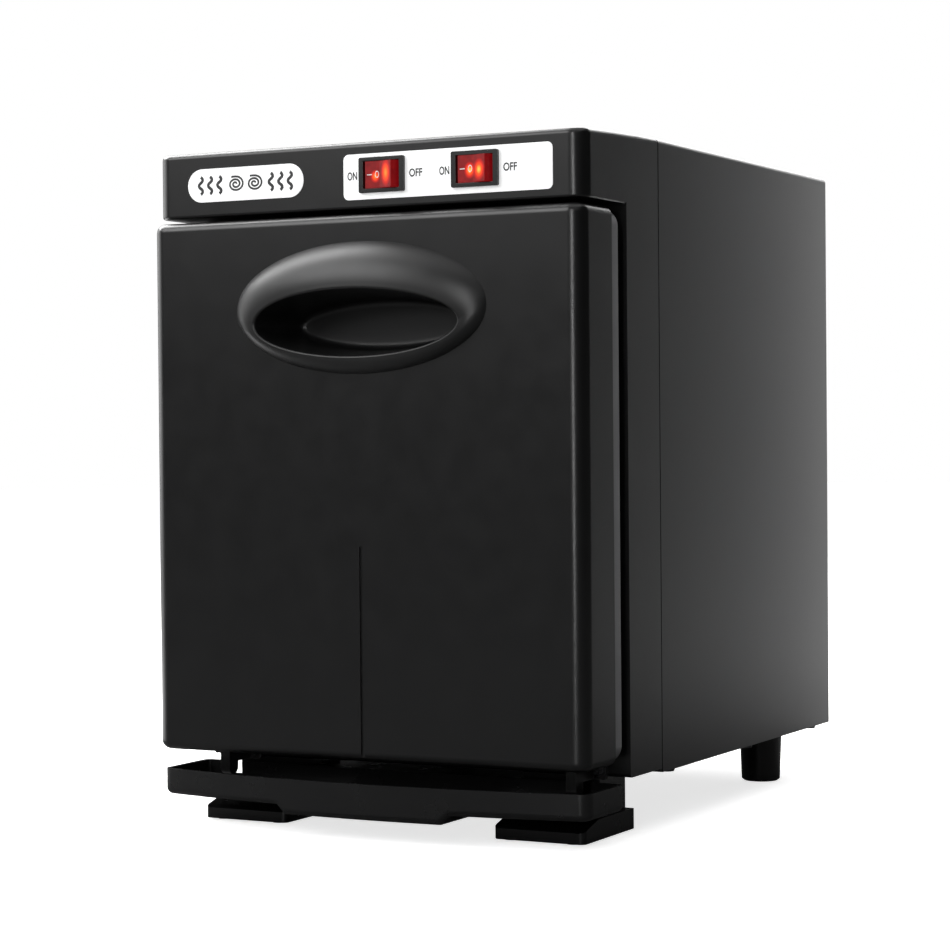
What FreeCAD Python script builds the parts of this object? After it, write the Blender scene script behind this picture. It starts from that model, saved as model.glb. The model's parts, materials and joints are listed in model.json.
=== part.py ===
import FreeCAD, Part
import math
import os

# Hot towel cabinet with a pull-down door, two lit rocker switches and a drip tray.
#
# Drawing axes, millimetres: x runs across (right is positive), y runs back from the seam
# between the moulded front frame and the sheet shell (the front is negative), and z runs
# up from the body's underside. save() moves every piece so that the origin ends at the
# middle of the outline, on the surface the cabinet stands on.

V = FreeCAD.Vector

# ---- body ----
BODY_W = 260.0            # width over the side sheets
BODY_H = 340.6            # height of the sheet shell
SHELL_D = 263.5           # the shell's depth, from the seam to its rear flange
FOOT_H = 30.5             # ground to the body's underside
SHEET = 0.8               # thickness of every steel and aluminium sheet
BEND_R = 3.0              # outer radius of the sheet's bends
SEAM = 1.0                # width of the groove between frame and shell
WALL = 2.6                # moulded wall thickness
HALF_W = BODY_W / 2

# ---- front frame and control hood ----
FACE_Y = -41.4            # face that the door's gasket closes on
FRAME_Z0 = 2.0            # underside of the moulded frame, a little above the sheet's
HOOD_Y = -93.6            # front of the control hood
HOOD_Z = 302.3            # underside of the hood
HOOD_TOP_DROP = 3.2       # how far the top falls from the seam to the hood's front
HOOD_R = 9.0              # vertical corners of the hood
MOUTH_X = 95.0            # half width of the chamber's mouth
MOUTH_Z0 = 34.0
MOUTH_Z1 = 276.0
MOUTH_R = 8.0
CHAMBER_Y1 = 204.0        # rear wall of the towel chamber

# ---- door ----
DOOR_X = 130.95           # half width
DOOR_Z0 = 10.8
DOOR_Z1 = 299.6
DOOR_FACE_Y = -98.1
DOOR_SHELL_Y = -62.1      # joint between the outer moulding and the inner panel
DOOR_BACK_Y = -53.1       # rear of the inner panel
DOOR_SIDE_R = 8.5         # the door's upright front edges
DOOR_R = 5.0              # its top and bottom edges
PANEL_R = 9.0
GASKET_INSET = 12.0
GASKET_W = 8.0
GASKET_GAP = 0.3
GROOVE_X = 0.7            # middle of the groove below the handle
GROOVE_TOP_Z = 124.0

# ---- door handle ----
GRIP_X = 0.7
GRIP_Z = 250.0            # middle of the oval surround
GRIP_A = 76.0
GRIP_B = 35.0
GRIP_BULGE = 15.0
DOME_STEPS = (0, 22, 42, 60, 74)   # degrees up the dome's quarter ellipse
POCKET_Z = 242.0          # middle of the finger pocket
POCKET_A = 62.0
POCKET_B = 18.0
POCKET_Y = -68.0

# ---- hinges ----
HINGE_X = 107.0
HINGE_Y = -86.0
HINGE_Z = 20.0
PIN_R = 2.5
PIN_CLEARANCE = 0.05
BUSH_R = 4.0
BRACKET_T = 6.0

# ---- switches ----
SWITCH_X = (13.85, 69.05)
SWITCH_Z = 319.55
BEZEL_A = 13.6            # half width and half height of the bezel
BEZEL_B = 9.35
ROCKER_R = 10.4           # the rocker's ends turn inside this radius
ROCKER_B = 7.0
ROCKER_TILT = 9.0         # degrees either side of level
PLATE_T = 0.6
PLATE_Y = HOOD_Y - PLATE_T

# ---- drip tray ----
TRAY_X = 130.0
TRAY_REAR_Y = -49.0
TRAY_CORNER_Y = -93.0
TRAY_BOW = 13.5
TRAY_TOP_Z = -0.3
TRAY_END_Z = -14.5
TRAY_WELL_Z = -19.5
TRAY_WELL_X = 47.0
TRAY_WELL_MID = 2.0
TRAY_FOOT_R = 3.5         # the tray's lower front edges
TRAY_T = 2.2
TONGUE_X = 68.6
TONGUE_END_Y = 28.0

# ---- feet ----
LEG_X = (66.0, 112.0)
LEG_REAR_Y = -9.0
PAD_X = (64.0, 117.0)
PAD_FRONT_Y = -71.5
LEG_Z = -18.8
REAR_FOOT_X = 106.6
REAR_FOOT_Y = 203.6
SOLE_T = 1.2

# ---- rear ----
BASE_REAR_Y = 262.3
GLAND_X = -92.0
GLAND_Z = 36.0
GLAND_OUT = 9.0
GLAND_BORE_R = 3.75

FRONT_MOST = DOOR_FACE_Y - GRIP_BULGE
REAR_MOST = SHELL_D + SHEET + GLAND_OUT
PLACE = V(0, -(FRONT_MOST + REAR_MOST) / 2, FOOT_H)


def box(x0, x1, y0, y1, z0, z1):
    return Part.makeBox(x1 - x0, y1 - y0, z1 - z0, V(x0, y0, z0))


def rod(x, y, z, radius, length, axis):
    return Part.makeCylinder(radius, length, V(x, y, z), V(*axis))


def join(shapes):
    first, *others = shapes
    return first.fuse(others).removeSplitter() if others else first


def group(shapes):
    return Part.makeCompound(shapes)


def mirrored(shape):
    return shape.mirror(V(0, 0, 0), V(1, 0, 0))


def pair(shape):
    return group([shape, mirrored(shape)])


def rounded(shape, radius, wanted):
    edges = [edge for edge in shape.Edges if wanted(edge)]
    return shape.makeFillet(radius, edges)


def along(edge, axis):
    if edge.Curve.TypeId != "Part::GeomLine":
        return False
    way = edge.Vertexes[1].Point.sub(edge.Vertexes[0].Point).normalize()
    return abs(way.dot(V(*axis))) > 0.999


def slab(half_x, z0, z1, radius, y0, y1, mid_x=0.0):
    """Plate in the x-z plane with rounded corners, from y0 back to y1."""
    plate = box(mid_x - half_x, mid_x + half_x, y0, y1, z0, z1)
    return rounded(plate, radius, lambda edge: along(edge, (0, 1, 0)))


def ring(half_x, z0, z1, radius, width, y0, y1):
    outer = slab(half_x, z0, z1, radius, y0, y1)
    inner = slab(half_x - width, z0 + width, z1 - width, radius - width / 2, y0 - 1, y1 + 1)
    return outer.cut(inner)


def ellipse_at(x, y, z, a, b):
    """Closed wire of an ellipse in the x-z plane."""
    curve = Part.Ellipse(V(0, 0, 0), a, b).toShape()
    curve.rotate(V(0, 0, 0), V(1, 0, 0), 90)
    curve.translate(V(x, y, z))
    return Part.Wire([curve])


def oval(x, z, a, b, y0, y1):
    return Part.Face(ellipse_at(x, y0, z, a, b)).extrude(V(0, y1 - y0, 0))


def tapered_oval(x, z, y0, a0, b0, y1, a1, b1):
    return Part.makeLoft([ellipse_at(x, y0, z, a0, b0), ellipse_at(x, y1, z, a1, b1)], True, True)


def half_dome(x, y, z, a, bulge, b):
    """Oval dome that bulges forward from the plane y, in straight-sided steps to a flat crown."""
    last = math.radians(DOME_STEPS[-1])
    sections = []
    for degrees in DOME_STEPS:
        turn = math.radians(degrees)
        height = bulge * math.sin(turn) / math.sin(last)
        sections.append(ellipse_at(x, y - height, z, a * math.cos(turn), b * math.cos(turn)))
    return Part.makeLoft(sections, True, True)


def prism_x(points, x0, x1):
    """Outline of (y, z) points carried from x0 to x1."""
    corners = [V(x0, y, z) for y, z in points]
    return Part.Face(Part.makePolygon(corners + corners[:1])).extrude(V(x1 - x0, 0, 0))


def bent_rod(points, radius, bend, closed=False):
    """Round bar through the points, straight between them and bent to one radius."""
    spots = [V(*point) for point in points]
    count = len(spots)
    corners = range(count) if closed else range(1, count - 1)
    arcs = {}
    for i in corners:
        before = spots[i - 1].sub(spots[i]).normalize()
        after = spots[(i + 1) % count].sub(spots[i]).normalize()
        half = before.getAngle(after) / 2
        reach = bend / math.tan(half)
        middle = (before + after).normalize() * (bend / math.sin(half) - bend)
        arcs[i] = (spots[i] + before * reach, spots[i] + middle, spots[i] + after * reach)
    edges = []
    for i in range(count if closed else count - 1):
        start = arcs[i][2] if i in arcs else spots[i]
        following = (i + 1) % count
        end = arcs[following][0] if following in arcs else spots[following]
        edges.append(Part.LineSegment(start, end).toShape())
        if following in arcs:
            edges.append(Part.Arc(*arcs[following]).toShape())
    path = Part.Wire(edges)
    start = edges[0].Vertexes[0].Point
    way = edges[0].Vertexes[1].Point.sub(start)
    section = Part.Wire([Part.Circle(start, way, radius).toShape()])
    return path.makePipeShell([section], True, False)


def pan_screw(x, y, z, way, head_r, head_h, shank_r, length):
    """Screw whose head's underside is at the point; way points out of the head."""
    out = V(*way)
    head = rod(x, y, z, head_r, head_h, way)
    head = rounded(head, head_h * 0.45, lambda edge: on_far_rim(edge, V(x, y, z) + out * head_h))
    shank = rod(x, y, z, shank_r, length, (-out.x, -out.y, -out.z))
    slot_at = V(x, y, z) + out * (head_h * 0.55)
    cross = []
    for turn in (0, 90):
        blade = Part.makeBox(head_r * 1.2, 0.7, head_h, V(-head_r * 0.6, -0.35, 0))
        blade.rotate(V(0, 0, 0), V(0, 0, 1), turn)
        blade.Placement = FreeCAD.Placement(slot_at, FreeCAD.Rotation(V(0, 0, 1), out)) * blade.Placement
        cross.append(blade)
    return head.fuse(shank).cut(cross[0]).cut(cross[1])


def on_far_rim(edge, centre):
    if edge.Curve.TypeId != "Part::GeomCircle":
        return False
    return edge.Curve.Center.distanceToPoint(centre) < 0.01


# ---------------------------------------------------------------- cabinet

def hood_outline(inset, y_back):
    """Side outline of the frame and hood as a face in the y-z plane at x = 0."""
    top = BODY_H - inset
    front = HOOD_Y + inset
    floor = HOOD_Z + inset
    face = FACE_Y + inset
    drop = HOOD_TOP_DROP
    middle = front / 2
    sill = FRAME_Z0 + inset
    corners = [(front, top - drop), (front, floor), (face, floor), (face, sill), (y_back, sill), (y_back, top)]
    points = [V(0, y, z) for y, z in corners]
    edges = [Part.LineSegment(a, b).toShape() for a, b in zip(points, points[1:])]
    crown = Part.Arc(points[-1], V(0, middle, top - drop * 0.36), points[0]).toShape()
    return Part.Face(Part.Wire(edges + [crown]))


def front_frame():
    front_edge = -SEAM / 2
    outside = hood_outline(0.0, front_edge)
    outside.translate(V(-HALF_W, 0, 0))
    frame = outside.extrude(V(BODY_W, 0, 0))

    def hood_corner(edge):
        mid = edge.CenterOfMass
        return along(edge, (0, 0, 1)) and abs(mid.y - HOOD_Y) < 0.1

    def crown_edge(edge):
        mid = edge.CenterOfMass
        return mid.z > HOOD_Z + 20 and mid.y < front_edge - 0.1 and not along(edge, (0, 0, 1))

    def underside_edge(edge):
        level = edge.BoundBox.ZMax < HOOD_Z + 0.1 and edge.BoundBox.ZMin > HOOD_Z - 0.1
        return level and edge.CenterOfMass.y < FACE_Y - 1

    def sill_edge(edge):
        mid = edge.CenterOfMass
        return along(edge, (1, 0, 0)) and abs(mid.y - FACE_Y) < 0.1 and mid.z < FRAME_Z0 + 1

    frame = rounded(frame, HOOD_R, hood_corner)
    frame = rounded(frame, BEND_R, crown_edge)
    frame = rounded(frame, 1.5, underside_edge)
    frame = rounded(frame, 2.0, sill_edge)

    inner_half = HALF_W - WALL
    inside = hood_outline(WALL, 1.0)
    inside.translate(V(-inner_half, 0, 0))
    inside = inside.extrude(V(2 * inner_half, 0, 0))
    inside = rounded(inside, HOOD_R - WALL,
                     lambda edge: along(edge, (0, 0, 1)) and edge.CenterOfMass.y < FACE_Y - 20)
    frame = frame.cut(inside)

    spigot = box(-129.0, 129.0, front_edge, 8.0, 1.0, BODY_H - 1.0)
    spigot = rounded(spigot, BEND_R, lambda edge: along(edge, (0, 1, 0)) and edge.CenterOfMass.z > 100)
    spigot = spigot.cut(box(-inner_half, inner_half, -5, 9, WALL, BODY_H - WALL))
    frame = frame.fuse(spigot)
    frame = frame.cut(slab(MOUTH_X, MOUTH_Z0, MOUTH_Z1, MOUTH_R, FACE_Y - 5, FACE_Y + WALL + 1))
    for x in SWITCH_X:
        window = box(x - 12.6, x + 12.6, HOOD_Y - 1, HOOD_Y + WALL + 1, SWITCH_Z - 8.7, SWITCH_Z + 8.7)
        frame = frame.cut(window)
    bosses = []
    holes = []
    for side in (-1, 1):
        for offset in (-6.5, 6.5):
            x = side * (HINGE_X + offset)
            bosses.append(rod(x, FACE_Y + WALL, 5.5, 3.4, 8.0, (0, 1, 0)))
            holes.append(rod(x, FACE_Y - 1, 5.5, 1.2, 11.0, (0, 1, 0)))
        for x in (side * 78.0, side * 100.0):
            bosses.append(rod(x, -27.0, WALL, 4.5, 9.0, (0, 0, 1)))
            holes.append(rod(x, -27.0, -1.0, 1.6, 13.5, (0, 0, 1)))
        for x in (side * 74.0, side * 86.0):
            holes.append(rod(x, FACE_Y - 1, 293.5, 1.2, 5.0, (0, 1, 0)))
    return frame.fuse(bosses).cut(holes).removeSplitter()


def outer_shell():
    def bends(radius, half, back, top):
        shape = box(-half, half, SEAM / 2, back, SHEET if top < BODY_H else 0.0, top)

        def bend(edge):
            mid = edge.CenterOfMass
            top_side = along(edge, (0, 1, 0)) and mid.z > top - 1
            rear_side = along(edge, (0, 0, 1)) and mid.y > back - 1
            rear_top = along(edge, (1, 0, 0)) and mid.y > back - 1 and mid.z > top - 1
            return top_side or rear_side or rear_top

        return rounded(shape, radius, bend)

    shell = bends(BEND_R, HALF_W, SHELL_D, BODY_H)
    hollow = bends(BEND_R - SHEET, HALF_W - SHEET, SHELL_D - SHEET, BODY_H - SHEET)
    shell = shell.cut(hollow)
    shell = shell.cut(box(-HALF_W + SHEET, HALF_W - SHEET, -1, 1, SHEET, BODY_H - SHEET))
    shell = shell.cut(box(-119, 119, SHELL_D - 2, SHELL_D + 1, -1, BODY_H - 11))
    shell = shell.cut(box(-121, 121, -1, SHELL_D - SHEET, -1, 2))
    holes = [rod(x, SHELL_D - 3, z, 1.5, 5, (0, 1, 0)) for x, z in rear_screw_places()]
    holes += [rod(x, y, -1, 1.6, 4, (0, 0, 1)) for x, y in base_screw_places()]
    return shell.cut(holes)


def rear_screw_places():
    sides = [(side * 123.0, z) for side in (-1, 1) for z in (30.0, 170.0, 310.0)]
    return sides + [(-60.0, 334.0), (60.0, 334.0)]


def base_screw_places():
    return [(side * 125.5, y) for side in (-1, 1) for y in (16.0, 130.0, 236.0)]


def rear_panel():
    panel = slab(127.0, 2.0, 338.0, 4.0, SHELL_D, SHELL_D + SHEET)
    cuts = [rod(x, SHELL_D - 1, z, 1.5, 4, (0, 1, 0)) for x, z in rear_screw_places()]
    for step in range(-4, 5):
        cuts.append(slab(2.0, 303.0, 326.0, 1.9, SHELL_D - 1, SHELL_D + 2, mid_x=step * 14.0))
        cuts.append(slab(2.0, 14.0, 30.0, 1.9, SHELL_D - 1, SHELL_D + 2, mid_x=step * 14.0))
    cuts.append(rod(GLAND_X, SHELL_D - 1, GLAND_Z, 6.5, 4, (0, 1, 0)))
    return panel.cut(cuts)


def base_panel():
    plate = box(-128.8, 128.8, 8.5, BASE_REAR_Y, SHEET, 2 * SHEET)
    plate = rounded(plate, BEND_R, lambda edge: along(edge, (0, 0, 1)) and edge.CenterOfMass.y > 100)
    lip = box(-118.0, 118.0, BASE_REAR_Y - SHEET, BASE_REAR_Y, SHEET, 11.0)
    holes = [rod(x, y, 0, 1.6, 4, (0, 0, 1)) for x, y in base_screw_places()]
    holes += [rod(side * REAR_FOOT_X, REAR_FOOT_Y, 0, 2.0, 4, (0, 0, 1)) for side in (-1, 1)]
    return plate.fuse(lip).cut(holes).removeSplitter()


def inner_liner():
    y0 = FACE_Y + WALL
    skin = slab(MOUTH_X + SHEET, MOUTH_Z0 - SHEET, MOUTH_Z1 + SHEET, MOUTH_R + SHEET, y0, CHAMBER_Y1 + SHEET)
    flange = slab(106.0, 23.0, 287.0, 6.0, y0, y0 + SHEET)
    hollow = slab(MOUTH_X, MOUTH_Z0, MOUTH_Z1, MOUTH_R, y0 - 1, CHAMBER_Y1)
    return skin.fuse(flange).cut(hollow).removeSplitter()


def heater_mat():
    outer = box(-97.3, 97.3, 5, 190, 31.8, 205)
    return outer.cut(box(-95.8, 95.8, 4, 191, 33.2, 206))


def insulation():
    blanket = box(-111, 111, -20, 219, 18, 290)
    blanket = blanket.cut(box(-97.6, 97.6, -21, 205.0, 31.6, 277.0))
    return blanket.cut(box(-30, 30, 200, 230, 112, 172))


def component_shelf():
    shelf = box(-127, 127, -30, 240, 299.0, 299.0 + SHEET)
    flanges = [box(side * 127 - (SHEET if side > 0 else 0), side * 127 + (SHEET if side < 0 else 0),
                   -30, 240, 290.0, 299.0) for side in (-1, 1)]
    return join([shelf] + flanges)


def thermostat():
    can = rod(0, CHAMBER_Y1 + SHEET, 150, 8.0, 6.5, (0, 1, 0))
    cap = rod(0, CHAMBER_Y1 + SHEET + 6.5, 150, 6.5, 5.0, (0, 1, 0))
    strap = box(-19, 19, CHAMBER_Y1 + SHEET, CHAMBER_Y1 + 2 * SHEET, 144, 156)
    blades = [box(x, x + 0.8, CHAMBER_Y1 + 12.3, CHAMBER_Y1 + 20.3, 147, 153.3) for x in (-4.4, 3.6)]
    return join([can, cap, strap] + blades)


def thermal_fuse():
    y = CHAMBER_Y1 + SHEET + 2.3
    barrel = rod(-9, y, 126, 2.3, 18, (1, 0, 0))
    leads = [rod(x, y, 126, 0.6, 9, (1, 0, 0)) for x in (-18, 9)]
    clip = box(-2, 2, y - 2.3, y + 0.4, 118, 122.9)
    band = box(-2, 2, y, y + 3.0, 122.0, 130.0)
    return join([barrel, clip, band] + leads)


LAMP_Y = 175.0
LAMP_Z = 262.0


def lamp_tube():
    return rod(-63, LAMP_Y, LAMP_Z, 7.4, 126, (1, 0, 0))


def lamp_caps():
    cap = rod(63, LAMP_Y, LAMP_Z, 8.0, 8.0, (1, 0, 0))
    pins = [rod(71, LAMP_Y + shift, LAMP_Z, 1.2, 5, (1, 0, 0)) for shift in (-2.5, 2.5)]
    return pair(join([cap] + pins))


def lamp_holders():
    block = box(71.0, 80.0, LAMP_Y - 10, LAMP_Y + 10, LAMP_Z - 9, MOUTH_Z1)
    block = rounded(block, 2.5, lambda edge: along(edge, (1, 0, 0)) and edge.CenterOfMass.z < LAMP_Z)
    slot = box(70, 77.5, LAMP_Y - 4, LAMP_Y + 4, LAMP_Z - 10, LAMP_Z + 1.6)
    return pair(block.cut(slot))


def lamp_guard():
    guard = box(-84, 84, LAMP_Y - 14, LAMP_Y + 14, 247, MOUTH_Z1)
    hollow = box(-85, 85, LAMP_Y - 13.2, LAMP_Y + 13.2, 247.8, MOUTH_Z1 + 1)
    guard = rounded(guard, BEND_R, lambda edge: along(edge, (1, 0, 0)) and edge.CenterOfMass.z < 250)
    hollow = rounded(hollow, BEND_R - SHEET, lambda edge: along(edge, (1, 0, 0)) and edge.CenterOfMass.z < 250)
    guard = guard.cut(hollow)
    slots = []
    for step in range(-4, 5):
        x = step * 17.0
        slots.append(box(x - 5, x + 5, LAMP_Y - 9, LAMP_Y + 9, 240, 250))
        slots.append(box(x - 5, x + 5, LAMP_Y - 20, LAMP_Y + 20, 255, 268))
    return guard.cut(slots)


def towel_rack():
    x, y0, y1, z = 90.0, -18.0, 193.0, 152.0
    corners = [(x, y0, z), (x, y1, z), (-x, y1, z), (-x, y0, z)]
    frame = bent_rod(corners, 2.0, 9.0, closed=True)
    bars = [rod(step * 17.6, y0 - 0.4, z + 2.2, 1.5, y1 - y0 + 0.8, (0, 1, 0)) for step in range(-4, 5)]
    ties = [rod(-x, y, z + 0.6, 1.5, 2 * x, (1, 0, 0)) for y in (52.0, 123.0)]
    return join([frame] + bars + ties)


def rack_rails():
    rail = box(87.5, MOUTH_X, -22, 198, 147, 150)
    stop = box(87.5, MOUTH_X, 196, 199, 147, 156)
    return pair(rail.fuse(stop).removeSplitter())


def lamp_ballast():
    z = 299.0 + SHEET
    core = box(-92, -12, 60, 98, z, z + 26)
    core = rounded(core, 1.5, lambda edge: edge.CenterOfMass.z > z + 25)
    feet = box(-104, 0, 66, 92, z, z + 1.5)
    holes = [rod(x, 79, z - 1, 2.0, 5, (0, 0, 1)) for x in (-98, -6)]
    return core.fuse(feet).cut(holes).removeSplitter()


def lamp_starter():
    z = 299.0 + SHEET
    can = rod(55, 79, z + 6, 10.5, 27, (0, 0, 1))
    can = rounded(can, 2.0, lambda edge: on_far_rim(edge, V(55, 79, z + 33)))
    socket = box(42, 68, 66, 92, z, z + 6)
    return join([can, socket])


def terminal_block():
    z = 2 * SHEET
    block = box(-84, -44, 236, 254, z, z + 13)
    wells = [rod(x, 241.5 + row * 7.0, z + 4, 2.4, 12, (0, 0, 1)) for x in (-76, -64, -52) for row in (0, 1)]
    screws = [rod(x, 241.5 + row * 7.0, z + 3.5, 2.0, 5, (0, 0, 1)) for x in (-76, -64, -52) for row in (0, 1)]
    return block.cut(wells).fuse(screws).removeSplitter()


def wiring_loom():
    """Terminal block to heater switch, ballast to lamp switch, terminal block to thermostat."""
    blade_y = PLATE_Y - 2.0 + 28.0
    heater_feed = [(-64, 245, 14.6), (-64, 245, 60), (-20, 248, 150), (-6, 248, 270), (-6, 248, 315),
                   (-6, 190, 309), (10, 20, 306), (SWITCH_X[0], -30, SWITCH_Z), (SWITCH_X[0], blade_y, SWITCH_Z)]
    lamp_feed = [(-30, 98.2, 312), (-30, 130, 316), (0, 150, 316), (84, 140, 310), (84, 20, 306),
                 (SWITCH_X[1], -30, SWITCH_Z), (SWITCH_X[1], blade_y, SWITCH_Z)]
    thermostat_feed = [(-52, 241.5, 14.6), (-52, 241.5, 60), (-24, 240, 105), (-4, 238, 130), (-4, 226.2, 150.2)]
    return group([bent_rod(route, 1.5, 12.0) for route in (heater_feed, lamp_feed, thermostat_feed)])


def cord_gland():
    y = SHELL_D + SHEET
    flange = rod(GLAND_X, y, GLAND_Z, 10.0, 3.0, (0, 1, 0))
    nose = Part.makeCone(8.0, 6.2, GLAND_OUT - 3.0, V(GLAND_X, y + 3, GLAND_Z), V(0, 1, 0))
    barrel = rod(GLAND_X, y - 12, GLAND_Z, 6.5, 12, (0, 1, 0))
    gland = join([flange, nose, barrel])
    return gland.cut(rod(GLAND_X, y - 13, GLAND_Z, GLAND_BORE_R, 30, (0, 1, 0)))


def gland_nut():
    across = 9.6
    corners = [V(GLAND_X + across * math.cos(math.radians(60 * k)), SHELL_D - 5.0,
                 GLAND_Z + across * math.sin(math.radians(60 * k))) for k in range(7)]
    nut = Part.Face(Part.makePolygon(corners)).extrude(V(0, 5.0, 0))
    return nut.cut(rod(GLAND_X, SHELL_D - 6, GLAND_Z, 6.5, 8, (0, 1, 0)))


# ---------------------------------------------------------------- controls

def switch_plate():
    plate = slab(61.5, 307.0, 331.0, 3.0, PLATE_Y, HOOD_Y, mid_x=51.5)
    for x in SWITCH_X:
        plate = plate.cut(box(x - 12.6, x + 12.6, PLATE_Y - 1, HOOD_Y + 1, SWITCH_Z - 8.7, SWITCH_Z + 8.7))
    return plate


def name_label():
    return slab(36.9, 310.4, 328.5, 9.0, PLATE_Y, HOOD_Y, mid_x=-71.8)


def switch_housing(x):
    face = PLATE_Y - 2.0
    bezel = slab(BEZEL_A, SWITCH_Z - BEZEL_B, SWITCH_Z + BEZEL_B, 1.0, face, PLATE_Y, mid_x=x)
    body = box(x - 12.4, x + 12.4, PLATE_Y, face + 20, SWITCH_Z - 8.5, SWITCH_Z + 8.5)
    well = box(x - 10.7, x + 10.7, face - 1, face + 9, SWITCH_Z - 7.25, SWITCH_Z + 7.25)
    blades = [box(x + dx - 0.4, x + dx + 0.4, face + 20, face + 28, SWITCH_Z - 3.1, SWITCH_Z + 3.1)
              for dx in (-7.5, 0, 7.5)]
    clips = [box(x + side * 12.4 - 0.9, x + side * 12.4 + 0.9, HOOD_Y + WALL, HOOD_Y + WALL + 4,
                 SWITCH_Z - 4, SWITCH_Z + 4) for side in (-1, 1)]
    housing = join([bezel, body] + blades + clips).cut(well)
    return housing.cut(rod(x, face + 4.5, SWITCH_Z - 8.1, 1.55, 16.2, (0, 0, 1)))


def rocker(x):
    """V-faced rocker, built level and turned to its ON side."""
    face = PLATE_Y - 2.0
    pivot_y = face + 4.5
    rise = ROCKER_R * math.tan(math.radians(ROCKER_TILT))
    crest = face - 0.1
    outline = [(-ROCKER_R, crest - rise), (0, crest), (ROCKER_R, crest - rise), (ROCKER_R, pivot_y + 2.5),
               (-ROCKER_R, pivot_y + 2.5)]
    corners = [V(x + dx, y, SWITCH_Z - ROCKER_B) for dx, y in outline]
    body = Part.Face(Part.makePolygon(corners + corners[:1])).extrude(V(0, 0, 2 * ROCKER_B))
    sweep = rod(x, pivot_y, SWITCH_Z - ROCKER_B, ROCKER_R, 2 * ROCKER_B, (0, 0, 1))
    stub = rod(x, pivot_y, SWITCH_Z - 8.0, 1.5, 16.0, (0, 0, 1))
    key = body.common(sweep).fuse(stub).removeSplitter()
    key.rotate(V(x, pivot_y, SWITCH_Z), V(0, 0, 1), -ROCKER_TILT)
    return key


# ---------------------------------------------------------------- hinges and catches

def hinge_bracket():
    x0 = HINGE_X - BRACKET_T / 2
    x1 = HINGE_X + BRACKET_T / 2
    eye = rod(x0, HINGE_Y, HINGE_Z, 6.5, BRACKET_T, (1, 0, 0))
    bar = box(x0, x1, HINGE_Y, -58, HINGE_Z - 5.5, HINGE_Z + 4)
    leg = box(x0, x1, -66, -57, -6, HINGE_Z + 4)
    leg = rounded(leg, 4.0, lambda edge: along(edge, (1, 0, 0)) and edge.CenterOfMass.z < 0)
    arm = box(x0, x1, -60, FACE_Y, 0.8, 8.0)
    flange = slab(10.0, 0.6, 10.2, 1.5, FACE_Y - 3.0, FACE_Y, mid_x=HINGE_X)
    bracket = join([eye, bar, leg, arm, flange])
    holes = [rod(HINGE_X + offset, FACE_Y - 5, 5.5, 1.5, 8, (0, 1, 0)) for offset in (-6.5, 6.5)]
    holes.append(rod(x0 - 1, HINGE_Y, HINGE_Z, BUSH_R, BRACKET_T + 2, (1, 0, 0)))
    return bracket.cut(holes)


def hinge_bushes():
    bush = rod(HINGE_X - BRACKET_T / 2, HINGE_Y, HINGE_Z, BUSH_R, BRACKET_T, (1, 0, 0))
    bore = rod(HINGE_X - BRACKET_T, HINGE_Y, HINGE_Z, PIN_R + PIN_CLEARANCE, 2 * BRACKET_T, (1, 0, 0))
    return pair(bush.cut(bore))


def hinge_pins():
    pin = rod(HINGE_X - 10.5, HINGE_Y, HINGE_Z, PIN_R, 21.0, (1, 0, 0))
    return pair(rounded(pin, 0.6, lambda edge: edge.Curve.TypeId == "Part::GeomCircle"))


def hinge_screws():
    screws = [pan_screw(side * (HINGE_X + offset), FACE_Y - 3.0, 5.5, (0, -1, 0), 2.7, 1.6, 1.2, 11.0)
              for side in (-1, 1) for offset in (-6.5, 6.5)]
    return group(screws)


def catch_magnets():
    case = box(70, 90, DOOR_BACK_Y + 1.0, FACE_Y, 289.4, 297.6)
    case = rounded(case, 0.8, lambda edge: along(edge, (0, 1, 0)))
    return pair(case)


def catch_strikes():
    return pair(slab(9.0, 290.0, 297.0, 1.0, DOOR_BACK_Y, DOOR_BACK_Y + 0.6, mid_x=80.0))


# ---------------------------------------------------------------- door

def door_screw_places():
    return [(side * 100.0, z) for side in (-1, 1) for z in (48.0, 156.0, 264.0)]


def hinge_notches(y0, y1):
    half = BRACKET_T / 2 + 1.5
    return [box(side * HINGE_X - half, side * HINGE_X + half, y0, y1, DOOR_Z0 - 1, HINGE_Z + 8)
            for side in (-1, 1)]


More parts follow.
